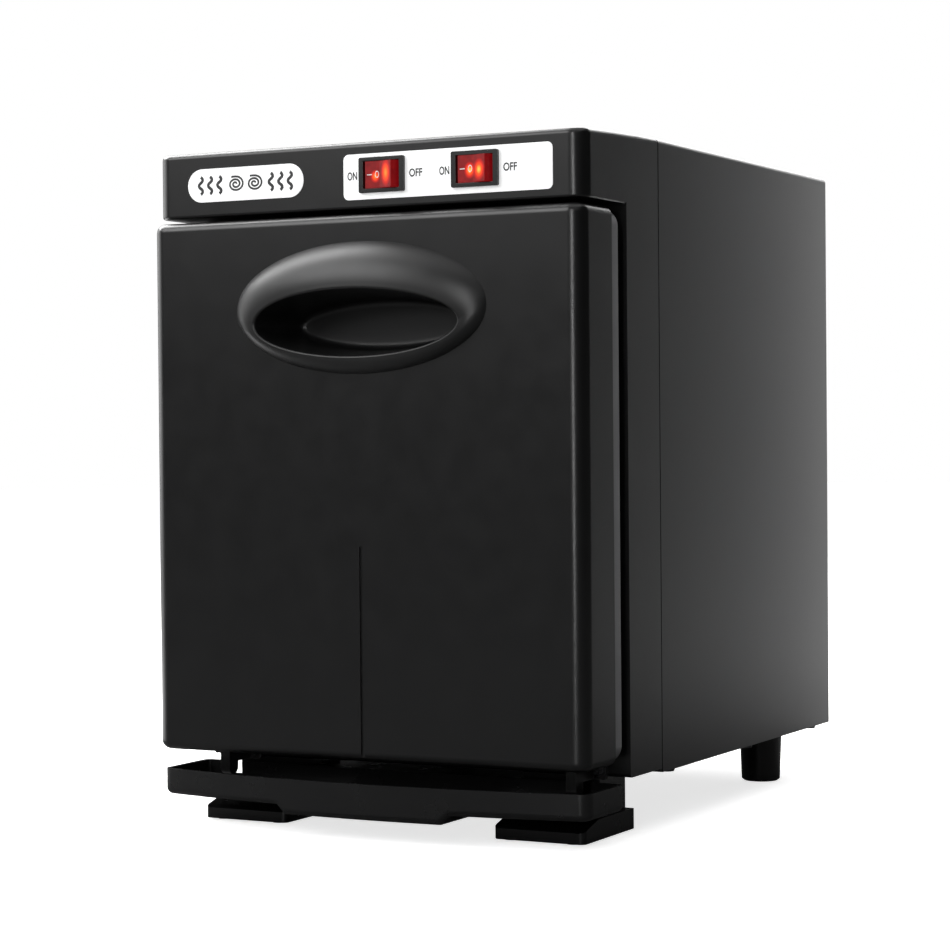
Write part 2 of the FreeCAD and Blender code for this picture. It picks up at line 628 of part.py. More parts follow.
def door_shell():
    def upright_edge(edge):
        return along(edge, (0, 0, 1)) and edge.CenterOfMass.y < DOOR_FACE_Y + 1

    def end_edge(edge):
        level = edge.BoundBox.ZLength < 0.01
        return level and edge.BoundBox.YMin < DOOR_SHELL_Y - 0.1

    moulding = box(-DOOR_X, DOOR_X, DOOR_FACE_Y, DOOR_SHELL_Y, DOOR_Z0, DOOR_Z1)
    moulding = rounded(moulding, DOOR_SIDE_R, upright_edge)
    moulding = rounded(moulding, DOOR_R, end_edge)
    hollow = slab(DOOR_X - WALL, DOOR_Z0 + WALL, DOOR_Z1 - WALL, 3.0, DOOR_FACE_Y + WALL, DOOR_SHELL_Y + 1)
    shell = moulding.cut(hollow)
    bosses = []
    for side in (-1, 1):
        for offset in (-7.75, 7.75):
            x = side * (HINGE_X + offset)
            bosses.append(box(x - 3.2, x + 3.2, DOOR_FACE_Y + WALL - 0.5, HINGE_Y + 6.5,
                              DOOR_Z0 + 1, HINGE_Z + 6.5))
    for x, z in door_screw_places():
        length = DOOR_SHELL_Y - DOOR_FACE_Y - WALL + 0.5
        bosses.append(rod(x, DOOR_FACE_Y + WALL - 0.5, z, 4.0, length, (0, 1, 0)))
    shell = shell.fuse(bosses)
    cuts = [rod(side * HINGE_X - 10.5, HINGE_Y, HINGE_Z, PIN_R, 21.0, (1, 0, 0)) for side in (-1, 1)]
    cuts += [rod(x, DOOR_SHELL_Y - 14, z, 1.25, 20, (0, 1, 0)) for x, z in door_screw_places()]
    cuts += hinge_notches(DOOR_FACE_Y + WALL + 1, DOOR_SHELL_Y + 1)
    cuts.append(oval(GRIP_X, GRIP_Z, GRIP_A - 3, GRIP_B - 3, DOOR_FACE_Y - 1, DOOR_FACE_Y + WALL + 1))
    cuts.append(box(GROOVE_X - 1, GROOVE_X + 1, DOOR_FACE_Y - 1, DOOR_FACE_Y + 1, DOOR_Z0 - 1, GROOVE_TOP_Z))
    return shell.cut(cuts).removeSplitter()


def door_handle():
    """Hollow oval surround with a tapered finger pocket behind its opening."""
    dome = half_dome(GRIP_X, DOOR_FACE_Y, GRIP_Z, GRIP_A, GRIP_BULGE, GRIP_B)
    under = half_dome(GRIP_X, DOOR_FACE_Y + 0.01, GRIP_Z, GRIP_A - 2.5, GRIP_BULGE - 2.5, GRIP_B - 2.5)
    cup = tapered_oval(GRIP_X, POCKET_Z, FRONT_MOST - 1, 66.0, 21.0, POCKET_Y + 2.0, 57.0, 16.5)
    behind = box(-90, 90, DOOR_FACE_Y, DOOR_SHELL_Y, 200, 300)
    pocket = tapered_oval(GRIP_X, POCKET_Z, FRONT_MOST - 2, POCKET_A + 1.6, POCKET_B + 0.8,
                          POCKET_Y, 54.0, 14.0)
    surround = dome.cut(under)
    return surround.fuse(cup.common(dome)).fuse(cup.common(behind)).cut(pocket)


def door_panel():
    panel = slab(DOOR_X - 0.7, DOOR_Z0 + 0.7, DOOR_Z1 - 0.7, PANEL_R, DOOR_SHELL_Y, DOOR_BACK_Y)
    pan = slab(DOOR_X - 3.4, DOOR_Z0 + 3.4, DOOR_Z1 - 3.4, PANEL_R - 2.7, DOOR_SHELL_Y - 1, DOOR_BACK_Y - 2.5)
    bosses = [rod(x, DOOR_SHELL_Y, z, 4.0, 7.0, (0, 1, 0)) for x, z in door_screw_places()]
    panel = panel.cut(pan).fuse(bosses)
    cuts = [rod(x, DOOR_SHELL_Y - 1, z, 1.25, 12, (0, 1, 0)) for x, z in door_screw_places()]
    return panel.cut(cuts + hinge_notches(DOOR_SHELL_Y - 1, DOOR_BACK_Y - 2.5)).removeSplitter()


def door_insulation():
    foam = box(-122, 122, DOOR_SHELL_Y - 9, DOOR_BACK_Y - 2.9, 36, 290)
    cuts = [oval(GRIP_X, POCKET_Z + 3, 74.5, 33, DOOR_FACE_Y, DOOR_SHELL_Y - 1)]
    cuts += [rod(x, DOOR_FACE_Y, z, 4.6, 50, (0, 1, 0)) for x, z in door_screw_places()]
    return foam.cut(cuts)


def door_gasket():
    return ring(DOOR_X - GASKET_INSET, DOOR_Z0 + GASKET_INSET, DOOR_Z1 - GASKET_INSET, 10.0, GASKET_W,
                DOOR_BACK_Y, FACE_Y - GASKET_GAP)


def door_screws():
    places = door_screw_places()
    return group([pan_screw(x, DOOR_BACK_Y, z, (0, 1, 0), 3.0, 1.8, 1.25, 14.0) for x, z in places])


# ---------------------------------------------------------------- drip tray

def tray_plan(inset, z0, z1):
    """The tray's plan, bowed at the front, as a prism."""
    x = TRAY_X - inset
    rear = TRAY_REAR_Y - inset
    side = TRAY_CORNER_Y + inset
    corners = [V(-x, side, z0), V(-x, rear, z0), V(x, rear, z0), V(x, side, z0)]
    edges = [Part.LineSegment(a, b).toShape() for a, b in zip(corners, corners[1:])]
    bow = Part.Arc(corners[-1], V(0, side - TRAY_BOW, z0), corners[0]).toShape()
    prism = Part.Face(Part.Wire(edges + [bow])).extrude(V(0, 0, z1 - z0))
    prism = rounded(prism, 7.0 - inset, lambda edge: along(edge, (0, 0, 1)) and edge.CenterOfMass.y < side + 1)
    return rounded(prism, 4.0 - inset, lambda edge: along(edge, (0, 0, 1)) and edge.CenterOfMass.y > rear - 1)


def tray_section(inset, top):
    """Front view of the tray: shallow ends and a deeper middle with sloping sides."""
    slope = TRAY_END_Z - TRAY_WELL_Z
    end_z = TRAY_END_Z + inset
    well_z = TRAY_WELL_Z + inset
    well = TRAY_WELL_X - inset * 0.4
    foot = well + slope * 1.1
    right = [(TRAY_WELL_MID + well, well_z), (TRAY_WELL_MID + foot, end_z),
             (TRAY_X + 1, end_z), (TRAY_X + 1, top)]
    left = [(-TRAY_X - 1, top), (-TRAY_X - 1, end_z),
            (TRAY_WELL_MID - foot, end_z), (TRAY_WELL_MID - well, well_z)]
    corners = [V(x, -150, z) for x, z in right + left]
    return Part.Face(Part.makePolygon(corners + corners[:1])).extrude(V(0, 120, 0))


def lower_front_edge(edge):
    mid = edge.CenterOfMass
    outline = not along(edge, (0, 1, 0)) and not along(edge, (0, 0, 1))
    return outline and mid.y < TRAY_CORNER_Y + 7.5 and mid.z < TRAY_END_Z + 0.1


def drip_tray():
    outer = tray_plan(0.0, TRAY_WELL_Z - 1, TRAY_TOP_Z).common(tray_section(0.0, TRAY_TOP_Z + 1))
    outer = rounded(outer, TRAY_FOOT_R, lower_front_edge)
    inner = tray_plan(TRAY_T, TRAY_WELL_Z, TRAY_TOP_Z + 1).common(tray_section(TRAY_T, TRAY_TOP_Z + 1))
    tongue = box(-TONGUE_X, TONGUE_X, TRAY_REAR_Y - 1, TONGUE_END_Y, -4.5, -2.0)
    tongue = rounded(tongue, 6.0, lambda edge: along(edge, (0, 0, 1)) and edge.CenterOfMass.y > 0)
    notches = [box(side * HINGE_X - 4.5, side * HINGE_X + 4.5, TRAY_REAR_Y - 6, TRAY_REAR_Y + 1, -7.2, 1)
               for side in (-1, 1)]
    return outer.cut(inner).fuse(tongue).cut(notches).removeSplitter()


# ---------------------------------------------------------------- feet

def front_foot():
    pad_profile = [(PAD_FRONT_Y, -29.9), (LEG_REAR_Y, -29.9), (LEG_REAR_Y, LEG_Z), (-54, LEG_Z), (-67, -22.3),
                   (PAD_FRONT_Y, -24.0)]
    pad = prism_x(pad_profile, PAD_X[0], PAD_X[1])
    pad = rounded(pad, 3.5, lambda edge: along(edge, (0, 0, 1)) and edge.CenterOfMass.y < -60)
    leg = box(LEG_X[0], LEG_X[1], FACE_Y, LEG_REAR_Y, LEG_Z, FRAME_Z0)
    groove = box(LEG_X[0] - 1, TONGUE_X + 0.4, -50, 0, -4.7, -1.8)
    foot = join([pad, leg]).cut(groove)
    cuts = []
    for x in (78.0, 100.0):
        cuts.append(rod(x, -27, -31, 4.2, 22, (0, 0, 1)))
        cuts.append(rod(x, -27, -10, 1.6, 12, (0, 0, 1)))
    for x, y in front_sole_places():
        cuts.append(rod(x, y, -29.9, 5.0, 0.6, (0, 0, 1)))
    return foot.cut(cuts)


def front_sole_places():
    return [(72.0, -64.0), (108.0, -64.0), (72.0, -18.0), (108.0, -18.0)]


def rear_foot(side):
    x = side * REAR_FOOT_X
    foot = Part.makeCone(11.6, 12.9, FOOT_H, V(x, REAR_FOOT_Y, -FOOT_H + 0.6), V(0, 0, 1))
    foot = foot.common(rod(x, REAR_FOOT_Y, -FOOT_H, 20, FOOT_H + SHEET, (0, 0, 1)))
    foot = rounded(foot, 1.0, lambda edge: edge.CenterOfMass.z < -29 and edge.Curve.TypeId == "Part::GeomCircle")
    foot = foot.cut(rod(x, REAR_FOOT_Y, -FOOT_H, 5.0, 14.5, (0, 0, 1)))
    return foot.cut(rod(x, REAR_FOOT_Y, -FOOT_H, 2.0, 40, (0, 0, 1)))


def foot_soles():
    soles = []
    for side in (-1, 1):
        for x, y in front_sole_places():
            soles.append(rod(side * x, y, -FOOT_H, 5.0, SOLE_T, (0, 0, 1)))
        ring_sole = rod(side * REAR_FOOT_X, REAR_FOOT_Y, -FOOT_H, 10.2, 0.6, (0, 0, 1))
        soles.append(ring_sole.cut(rod(side * REAR_FOOT_X, REAR_FOOT_Y, -FOOT_H - 1, 5.4, 4, (0, 0, 1))))
    return group(soles)


def foot_screws():
    screws = []
    for side in (-1, 1):
        for x in (78.0, 100.0):
            screws.append(pan_screw(side * x, -27, -9.0, (0, 0, -1), 3.4, 2.2, 1.6, 20.0))
        x = side * REAR_FOOT_X
        screws.append(pan_screw(x, REAR_FOOT_Y, -16.0, (0, 0, -1), 4.0, 2.6, 2.0, 23.0))
        nut = rod(x, REAR_FOOT_Y, 2 * SHEET, 4.0, 3.2, (0, 0, 1)).cut(rod(x, REAR_FOOT_Y, 0, 2.0, 8, (0, 0, 1)))
        screws.append(nut)
    return group(screws)


def rear_panel_screws():
    y = SHELL_D + SHEET
    return group([pan_screw(x, y, z, (0, 1, 0), 3.0, 1.9, 1.5, 8.0) for x, z in rear_screw_places()])


def base_screws():
    return group([pan_screw(x, y, 0, (0, 0, -1), 4.3, 1.4, 1.6, 8.0) for x, y in base_screw_places()])


def save(name, shape):
    placed = shape.copy()
    placed.translate(PLACE)
    placed.exportStep("parts/" + name + ".step")
    solids = placed.Solids
    size = placed.BoundBox
    print("%-20s solids %2d valid %s volume %10.1f  x %7.2f %7.2f  y %7.2f %7.2f  z %7.2f %7.2f" % (
        name, len(solids), placed.isValid(), sum(s.Volume for s in solids),
        size.XMin, size.XMax, size.YMin, size.YMax, size.ZMin, size.ZMax))


PIECES = {
    "front_frame": front_frame,
    "outer_shell": outer_shell,
    "rear_panel": rear_panel,
    "base_panel": base_panel,
    "inner_liner": inner_liner,
    "heater_mat": heater_mat,
    "insulation": insulation,
    "component_shelf": component_shelf,
    "thermostat": thermostat,
    "thermal_fuse": thermal_fuse,
    "lamp_tube": lamp_tube,
    "lamp_caps": lamp_caps,
    "lamp_holders": lamp_holders,
    "lamp_guard": lamp_guard,
    "lamp_ballast": lamp_ballast,
    "lamp_starter": lamp_starter,
    "towel_rack": towel_rack,
    "rack_rails": rack_rails,
    "terminal_block": terminal_block,
    "wiring_loom": wiring_loom,
    "cord_gland": cord_gland,
    "gland_nut": gland_nut,
    "switch_plate": switch_plate,
    "name_label": name_label,
    "heater_switch": lambda: switch_housing(SWITCH_X[0]),
    "lamp_switch": lambda: switch_housing(SWITCH_X[1]),
    "heater_rocker": lambda: rocker(SWITCH_X[0]),
    "lamp_rocker": lambda: rocker(SWITCH_X[1]),
    "hinge_bracket_right": hinge_bracket,
    "hinge_bracket_left": lambda: mirrored(hinge_bracket()),
    "hinge_bushes": hinge_bushes,
    "hinge_pins": hinge_pins,
    "hinge_screws": hinge_screws,
    "catch_magnets": catch_magnets,
    "catch_strikes": catch_strikes,
    "door_shell": door_shell,
    "door_handle": door_handle,
    "door_panel": door_panel,
    "door_insulation": door_insulation,
    "door_gasket": door_gasket,
    "door_screws": door_screws,
    "drip_tray": drip_tray,
    "front_foot_right": front_foot,
    "front_foot_left": lambda: mirrored(front_foot()),
    "rear_foot_right": lambda: rear_foot(1),
    "rear_foot_left": lambda: rear_foot(-1),
    "foot_soles": foot_soles,
    "foot_screws": foot_screws,
    "rear_panel_screws": rear_panel_screws,
    "base_screws": base_screws,
}

os.makedirs("parts", exist_ok=True)
for piece_name, make in PIECES.items():
    save(piece_name, make())
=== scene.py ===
import json
import math

import bpy
from mathutils import Matrix, Vector


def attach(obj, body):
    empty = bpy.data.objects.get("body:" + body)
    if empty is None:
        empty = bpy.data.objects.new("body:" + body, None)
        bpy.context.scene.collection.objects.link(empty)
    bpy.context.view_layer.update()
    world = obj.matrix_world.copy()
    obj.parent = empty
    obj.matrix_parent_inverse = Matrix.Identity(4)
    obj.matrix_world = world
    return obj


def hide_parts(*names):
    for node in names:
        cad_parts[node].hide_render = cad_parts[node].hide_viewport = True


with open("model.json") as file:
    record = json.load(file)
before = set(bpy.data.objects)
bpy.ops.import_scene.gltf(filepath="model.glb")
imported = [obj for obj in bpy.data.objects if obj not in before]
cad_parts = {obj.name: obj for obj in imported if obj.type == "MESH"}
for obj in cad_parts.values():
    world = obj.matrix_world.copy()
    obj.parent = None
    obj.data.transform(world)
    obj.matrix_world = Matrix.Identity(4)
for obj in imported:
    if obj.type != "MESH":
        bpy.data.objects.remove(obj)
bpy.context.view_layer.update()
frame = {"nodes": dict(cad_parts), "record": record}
nodes = frame["nodes"]

# Sizes below are millimetres on the drawing axes: x across, y back from the seam behind the
# front frame, z up from the body's underside. MOVE takes them to the frame.
MM = 0.001
MOVE = Vector((0.0, -80.1, 30.5))

DOOR_FACE = -98.1                 # y of the door's outer face
PLATE_FACE = -94.2                # y of the outer face of the control plate and the pill label
BEZEL_FACE = -96.2                # y of the switch bezels' outer face
SWITCHES = {"heater": 13.85, "lamp": 69.05}     # x of the switches' middles
SWITCH_Z = 319.55
LABEL_MIDDLE = (-71.8, 319.45)    # x and z on the hood


def place(x, y, z):
    return (Vector((x, y, z)) + MOVE) * MM


# ---------------------------------------------------------------- bench work

SHARP = 35.0                      # degrees between faces that make an edge worth easing
FLAT = 0.4                        # degrees between faces that count as one flat
WELD = 0.002                      # corners closer than this are one corner


def clear():
    """Leaves nothing selected."""
    if bpy.context.mode != "OBJECT":
        bpy.ops.object.mode_set(mode="OBJECT")
    bpy.ops.object.select_all(action="DESELECT")


def hold(piece):
    clear()
    piece.select_set(True)
    bpy.context.view_layer.objects.active = piece


def settle(piece):
    """Puts the piece's place into its mesh."""
    hold(piece)
    bpy.ops.object.transform_apply(location=True, rotation=True, scale=True)
    return piece


def named(name):
    """Names the piece just made and settles it."""
    piece = bpy.context.active_object
    piece.name = name
    piece.data.name = name
    return settle(piece)


def block(name, low, high):
    clear()
    middle = (place(*low) + place(*high)) / 2
    size = [(b - a) * MM for a, b in zip(low, high)]
    bpy.ops.mesh.primitive_cube_add(size=1, location=middle, scale=size)
    return named(name)


def join(name, pieces):
    hold(pieces[0])
    for piece in pieces[1:]:
        piece.select_set(True)
    bpy.ops.object.join()
    return named(name)


def face_out(piece):
    """Turns every face of a closed piece outwards."""
    hold(piece)
    bpy.ops.object.mode_set(mode="EDIT")
    bpy.ops.mesh.select_all(action="SELECT")
    bpy.ops.mesh.normals_make_consistent(inside=False)
    clear()


def ease(piece, radius, steps=3):
    """Breaks every edge sharper than SHARP with a small round."""
    hold(piece)
    bevel = piece.modifiers.new("ease", "BEVEL")
    bevel.width = radius * MM
    bevel.segments = steps
    bevel.limit_method = "ANGLE"
    bevel.angle_limit = math.radians(SHARP)
    bevel.use_clamp_overlap = True
    bpy.ops.object.modifier_apply(modifier=bevel.name)


def smooth(piece, angle=30):
    """Shades the curves smooth, up to the angle in degrees, and keeps the flats flat."""
    hold(piece)
    bpy.ops.object.shade_smooth_by_angle(angle=math.radians(angle))
    weighted = piece.modifiers.new("even", "WEIGHTED_NORMAL")
    weighted.keep_sharp = True
    bpy.ops.object.modifier_apply(modifier=weighted.name)


def recast(node, name):
    """A merged copy of a CAD node, to be finished by hand."""
    piece = bpy.data.objects.new(name, nodes[node].data.copy())
    bpy.context.scene.collection.objects.link(piece)
    hold(piece)
    if piece.data.has_custom_normals:
        bpy.ops.mesh.customdata_custom_splitnormals_clear()
    bpy.ops.object.mode_set(mode="EDIT")
    bpy.ops.mesh.select_all(action="SELECT")
    bpy.ops.mesh.remove_doubles(threshold=WELD * MM)
    bpy.ops.mesh.dissolve_limited(angle_limit=math.radians(FLAT))
    clear()
    return piece


def fit(piece, finish, body, slot, *stands_for):
    """Gives the finished piece its surface and its body."""
    piece.data.materials.clear()
    piece.data.materials.append(finish)
    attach(piece, body)
    if stands_for:
        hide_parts(*stands_for)
    return piece


# ---------------------------------------------------------------- finishes

NOISE_LOW = 0.3                   # cloudy noise seldom leaves this span
NOISE_HIGH = 0.7


class Finish:
    """A material being built: its shader, and short ways to feed it."""

    def __init__(self, name, rough, **values):
        self.material = bpy.data.materials.new(name)
        self.material.use_nodes = True
        self.tree = self.material.node_tree
        self.shader = self.tree.nodes["Principled BSDF"]
        self.shader.inputs["Roughness"].default_value = rough
        for socket, value in values.items():
            self.shader.inputs[socket.replace("_", " ")].default_value = value
        self.where = self.tree.nodes.new("ShaderNodeTexCoord").outputs["Object"]

    def link(self, source, target):
        self.tree.links.new(source, target)

    def stretched(self, x, y, z, at=(0, 0, 0)):
        """Coordinates that grow by one over x, y and z metres, from the place given."""
        mapping = self.tree.nodes.new("ShaderNodeMapping")
        mapping.vector_type = "TEXTURE"
        mapping.inputs["Location"].default_value = at
        mapping.inputs["Scale"].default_value = (x, y, z)
        self.link(self.where, mapping.inputs["Vector"])
        return mapping.outputs["Vector"]

    def noise(self, size, detail=3.0, vector=None):
        """Cloudy noise whose features are about size millimetres across."""
        noise = self.tree.nodes.new("ShaderNodeTexNoise")
        noise.inputs["Scale"].default_value = 1 / (size * MM) if vector is None else 1.0
        noise.inputs["Detail"].default_value = detail
        self.link(vector or self.where, noise.inputs["Vector"])
        return noise.outputs["Fac"]

    def cells(self, size):
        """Cells about size millimetres across."""
        cells = self.tree.nodes.new("ShaderNodeTexVoronoi")
        cells.inputs["Scale"].default_value = 1 / (size * MM)
        self.link(self.where, cells.inputs["Vector"])
        return cells

    def shades(self, source, stops):
        """A run of colours through the stops, read at the source's value."""
        ramp = self.tree.nodes.new("ShaderNodeValToRGB")
        while len(ramp.color_ramp.elements) < len(stops):
            ramp.color_ramp.elements.new(0.5)
        for element, (spot, colour) in zip(ramp.color_ramp.elements, stops):
            element.position = spot
            element.color = (*colour, 1.0)
        self.link(source, ramp.inputs["Fac"])
        return ramp.outputs["Color"]

    def colour(self, source, *stops):
        self.link(self.shades(source, stops), self.shader.inputs["Base Color"])

    def rough(self, source, low, high):
        """Lets the gloss wander between two roughnesses as the noise goes from its low to its high."""
        span = self.tree.nodes.new("ShaderNodeMapRange")
        span.inputs["From Min"].default_value = NOISE_LOW
        span.inputs["From Max"].default_value = NOISE_HIGH
        span.inputs["To Min"].default_value = low
        span.inputs["To Max"].default_value = high
        self.link(source, span.inputs["Value"])
        self.link(span.outputs["Result"], self.shader.inputs["Roughness"])

    def relief(self, source, height, strength=1.0):
        """Raises the surface by up to the height, in millimetres."""
        bump = self.tree.nodes.new("ShaderNodeBump")
        bump.inputs["Strength"].default_value = strength
        bump.inputs["Distance"].default_value = height * MM
        self.link(source, bump.inputs["Height"])
        self.link(bump.outputs["Normal"], self.shader.inputs["Normal"])


def tints(shade, spread):
    """Two stops, a little darker and a little lighter than the shade."""
    darker = tuple(c * (1 - spread) for c in shade)
    lighter = tuple(c * (1 + spread) for c in shade)
    return (0.35, darker), (0.65, lighter)


def moulded(name, shade, rough, height=0.004):
    """Injection-moulded plastic: a fine spark-eroded grain and a slightly uneven gloss."""
    finish = Finish(name, rough)
    finish.colour(finish.noise(28, 2.0), *tints(shade, 0.08))
    finish.rough(finish.noise(16, 4.0), rough - 0.015, rough + 0.02)
    finish.relief(finish.noise(0.6, 2.0), height)
    return finish.material


def powder_coat(name, shade, rough):
    """Smooth powder coat on sheet steel, its gloss a little uneven."""
    finish = Finish(name, rough)
    finish.colour(finish.noise(60, 2.0), *tints(shade, 0.05))
    finish.rough(finish.noise(24, 3.0), rough - 0.008, rough + 0.008)
    return finish.material


LINE_WIDTH = 0.4                  # of the marks that rolling leaves
LINE_LENGTH = 60.0


def rolled_sheet(name, shade, rough, along):
    """Mill-finished sheet or bar, with lines along one direction."""
    finish = Finish(name, rough, Metallic=1.0)
    size = [LINE_WIDTH * MM] * 3
    size["xyz".index(along)] = LINE_LENGTH * MM
    lines = finish.noise(1, 3.0, finish.stretched(*size))
    finish.colour(finish.noise(22, 3.0), *tints(shade, 0.05))
    finish.rough(lines, rough - 0.06, rough + 0.08)
    finish.relief(lines, 0.002, 0.5)
    return finish.material


def galvanised(name, shade, rough):
    """Zinc-coated sheet with its spangle."""
    finish = Finish(name, rough, Metallic=1.0)
    spangle = finish.cells(7.0)
    finish.colour(spangle.outputs["Color"], *tints(shade, 0.12))
    finish.rough(spangle.outputs["Color"], rough - 0.08, rough + 0.1)
    finish.relief(finish.noise(3.0, 3.0), 0.003)
    return finish.material


def plated(name, shade, rough):
    """Bright plated metal, with a faint orange peel."""
    finish = Finish(name, rough, Metallic=1.0)
    finish.colour(finish.noise(9, 2.0), *tints(shade, 0.02))
    finish.rough(finish.noise(5, 4.0), rough * 0.7, rough * 1.5)
    finish.relief(finish.noise(1.5, 2.0), 0.0008)
    return finish.material


def rubbery(name, shade, rough):
    """Rubber or soft sleeving, its skin a little uneven."""
    finish = Finish(name, rough)
    finish.colour(finish.noise(12, 3.0), *tints(shade, 0.15))
    finish.rough(finish.noise(4, 3.0), rough - 0.08, rough + 0.08)
    finish.relief(finish.noise(0.9, 2.0), 0.01)
    return finish.material


def blackened(name, shade, rough):
    """Black-oxide screw steel, a little brighter where it is handled."""
    finish = Finish(name, rough, Metallic=0.7)
    finish.colour(finish.noise(2.0, 3.0), *tints(shade, 0.25))
    finish.rough(finish.noise(1.2, 2.0), rough - 0.08, rough + 0.1)
    finish.relief(finish.noise(0.7, 2.0), 0.004)
    return finish.material


def fibre_mat(name, shade):
    """Glass wool: matted fibres, with a soft sheen."""
    finish = Finish(name, 0.95, Sheen_Weight=0.25)
    fibres = finish.noise(1, 6.0, finish.stretched(0.006, 0.006, 0.0012))
    finish.colour(fibres, *tints(shade, 0.25))
    finish.relief(fibres, 0.9)
    return finish.material


def open_foam(name, shade):
    """Cut foam, all small bubbles."""
    finish = Finish(name, 0.9)
    bubbles = finish.cells(1.1)
    finish.colour(bubbles.outputs["Distance"], *tints(shade, 0.1))
    finish.relief(bubbles.outputs["Distance"], 0.25)
    return finish.material


def printed_film(name, shade, rough):
    """White polyester film over print, with a faint paper tooth; it also glows a little, which is painted
    light standing in for the front light that falls on it.
    """
    # The white emission is painted light: the film is no lamp, and the glow only brightens the plate and the
    # label.
    finish = Finish(name, rough, Emission_Color=(1, 1, 1, 1), Emission_Strength=0.36)
    finish.colour(finish.noise(15, 3.0), *tints(shade, 0.012))
    finish.rough(finish.noise(6, 3.0), rough - 0.04, rough + 0.05)
    finish.relief(finish.noise(0.5, 2.0), 0.002)
    return finish.material


def ink(name, shade):
    """Screen-printed ink."""
    finish = Finish(name, 0.5)
    finish.colour(finish.noise(1.5, 3.0), *tints(shade, 0.12))
    finish.relief(finish.noise(0.3, 2.0), 0.002)
    return finish.material


GLOW_DEPTH = 20.0                 # deep enough for the glow to look flat on the key


def lit_lens(name, middle, spots, glow):
    """Clear red rocker with the neon lamp showing through as two warm spots.

    Each spot is its place across and up from the key's middle, and its two radii."""
    finish = Finish(name, 0.32, Specular_IOR_Level=0.3, Emission_Strength=1.15)
    finish.colour(finish.noise(3, 3.0), (0.3, (0.09, 0.002, 0.003)), (0.7, (0.20, 0.005, 0.005)))
    finish.relief(finish.noise(2.0, 2.0), 0.004)
    balls = []
    for across, up, wide, high in spots:
        ball = finish.tree.nodes.new("ShaderNodeTexGradient")
        ball.gradient_type = "SPHERICAL"
        centre = place(middle + across, BEZEL_FACE, SWITCH_Z + up)
        finish.link(finish.stretched(wide * MM, GLOW_DEPTH * MM, high * MM, centre), ball.inputs["Vector"])
        balls.append(ball)
    brighter = finish.tree.nodes.new("ShaderNodeMath")
    brighter.operation = "MAXIMUM"
    for ball, way_in in zip(balls, brighter.inputs):
        finish.link(ball.outputs["Fac"], way_in)
    stops = ((0.0, (0.10, 0.001, 0.002)), (0.3, (0.52, 0.010, 0.004)), (0.6, (1.0, 0.09, 0.008)), (1.0, glow))
    finish.link(finish.shades(brighter.outputs["Value"], stops), finish.shader.inputs["Emission Color"])
    return finish.material


def frosted_glass(name):
    """The lamp tube's glass, coated inside."""
    finish = Finish(name, 0.2, Transmission_Weight=0.7, IOR=1.5)
    finish.colour(finish.noise(12, 2.0), *tints((0.86, 0.89, 0.94), 0.03))
    finish.relief(finish.noise(0.8, 2.0), 0.002)
    return finish.material


